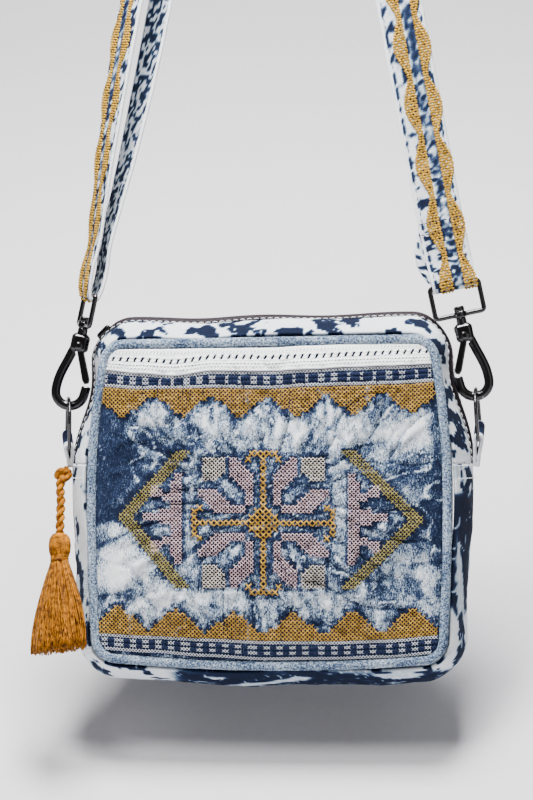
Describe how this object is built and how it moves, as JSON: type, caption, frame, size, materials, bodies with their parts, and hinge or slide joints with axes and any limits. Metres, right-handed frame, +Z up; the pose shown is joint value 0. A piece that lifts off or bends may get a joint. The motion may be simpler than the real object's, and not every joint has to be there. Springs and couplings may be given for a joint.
{
  "type": "embroidered crossbody bag",
  "caption": "small soft denim shoulder bag with embroidered front, piped edges, zip, clip-on strap and side tassel",
  "frame": {"origin": "underside of the strap at its highest point, where it hangs on a hook, peg or shoulder", "axes": "+Z up, the embroidered front faces -Y, +X to the right seen from the front"},
  "size_m": [0.2598, 0.0835, 0.7055],
  "materials": {
    "denim_washed": "acid-washed cotton denim, embroidered",
    "denim_band": "dark and white mottled cotton denim",
    "denim_piping": "light blue denim over a piping cord",
    "zip_tape_cloth": "dark woven zip tape",
    "zip_teeth": "dark coil zip teeth",
    "gunmetal": "polished gunmetal plate",
    "strap_cloth": "tie-dyed denim with embroidery",
    "mustard_thread": "twisted mustard cotton thread"
  },
  "bodies": {
    "bag": {"front_panel": "denim_washed", "back_panel": "denim_washed", "piping_front": "denim_piping", "piping_back": "denim_piping", "gusset_top_front": "denim_band", "gusset_top_back": "denim_band", "gusset_lower": "denim_band", "zip_tape": "zip_tape_cloth", "zip_coil": "zip_teeth", "zip_slider": "gunmetal", "tab_left": "denim_band", "tab_right": "denim_band", "ring_left": "gunmetal", "ring_right": "gunmetal", "loop_left": "gunmetal", "loop_right": "gunmetal", "strap": "strap_cloth", "strap_slider": "gunmetal", "tassel_cord": "mustard_thread", "tassel_knot": "mustard_thread", "tassel": "mustard_thread"},
    "snap_right": {"hook_right": "gunmetal"},
    "snap_left": {"hook_left": "gunmetal"},
    "lever_right": {"gate_right": "gunmetal"},
    "lever_left": {"gate_left": "gunmetal"}
  },
  "joints": [
    {"name": "right_swivel", "type": "hinge", "parent": "bag", "child": "snap_right", "pos_m": [0.10852, -0.00493, -0.5058], "axis": [-0.2079, 0, 0.9781], "range_deg": [-30, 30]},
    {"name": "left_swivel", "type": "hinge", "parent": "bag", "child": "snap_left", "pos_m": [-0.10914, -0.00534, -0.51121], "axis": [0.2079, 0, 0.9781], "range_deg": [-30, 30]},
    {"name": "right_gate", "type": "hinge", "parent": "snap_right", "child": "lever_right", "pos_m": [0.10852, -0.00493, -0.5058], "axis": [0, -1, 0], "range_deg": [0, 13], "stiffness_Nm_per_rad": 0.05, "springref_deg": -11.46},
    {"name": "left_gate", "type": "hinge", "parent": "snap_left", "child": "lever_left", "pos_m": [-0.10914, -0.00534, -0.51121], "axis": [0, 1, 0], "range_deg": [0, 13], "stiffness_Nm_per_rad": 0.05, "springref_deg": -11.46}
  ]
}
